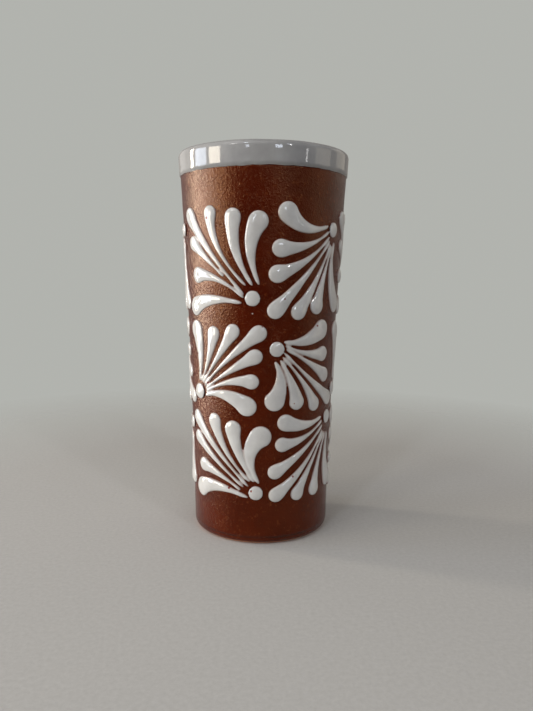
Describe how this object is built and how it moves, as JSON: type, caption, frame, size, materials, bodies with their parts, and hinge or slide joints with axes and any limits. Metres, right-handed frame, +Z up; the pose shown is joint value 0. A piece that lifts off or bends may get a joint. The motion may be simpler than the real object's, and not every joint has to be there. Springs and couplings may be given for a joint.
{
  "type": "bud vase",
  "caption": "Tall tapered earthenware bud vase, brown slip outside, white glazed lip and lining, with fans of raised white enamel strokes.",
  "frame": {"origin": "middle of the foot, where the vase rests", "axes": "+Z up the vase's axis, -Y towards the front columns of fans"},
  "size_m": [0.05, 0.05, 0.112],
  "materials": {
    "terracotta_clay": "unglazed, fine matt",
    "brown_slip": "burnished semi-gloss dark brown, slightly speckled",
    "white_glaze": "glossy off-white glaze",
    "white_enamel": "thick glossy white enamel"
  },
  "bodies": {
    "root": {"clay_body": "terracotta_clay", "brown_slip_coat": "brown_slip", "white_glaze_lining": "white_glaze", "enamel_fan_upper_1": "white_enamel", "enamel_fan_middle_1": "white_enamel", "enamel_fan_lower_1": "white_enamel", "enamel_fan_upper_2": "white_enamel", "enamel_fan_middle_2": "white_enamel", "enamel_fan_lower_2": "white_enamel", "enamel_fan_upper_3": "white_enamel", "enamel_fan_middle_3": "white_enamel", "enamel_fan_lower_3": "white_enamel", "enamel_fan_upper_4": "white_enamel", "enamel_fan_middle_4": "white_enamel", "enamel_fan_lower_4": "white_enamel", "enamel_fan_upper_5": "white_enamel", "enamel_fan_middle_5": "white_enamel", "enamel_fan_lower_5": "white_enamel", "enamel_fan_upper_6": "white_enamel", "enamel_fan_middle_6": "white_enamel", "enamel_fan_lower_6": "white_enamel"}
  },
  "joints": []
}
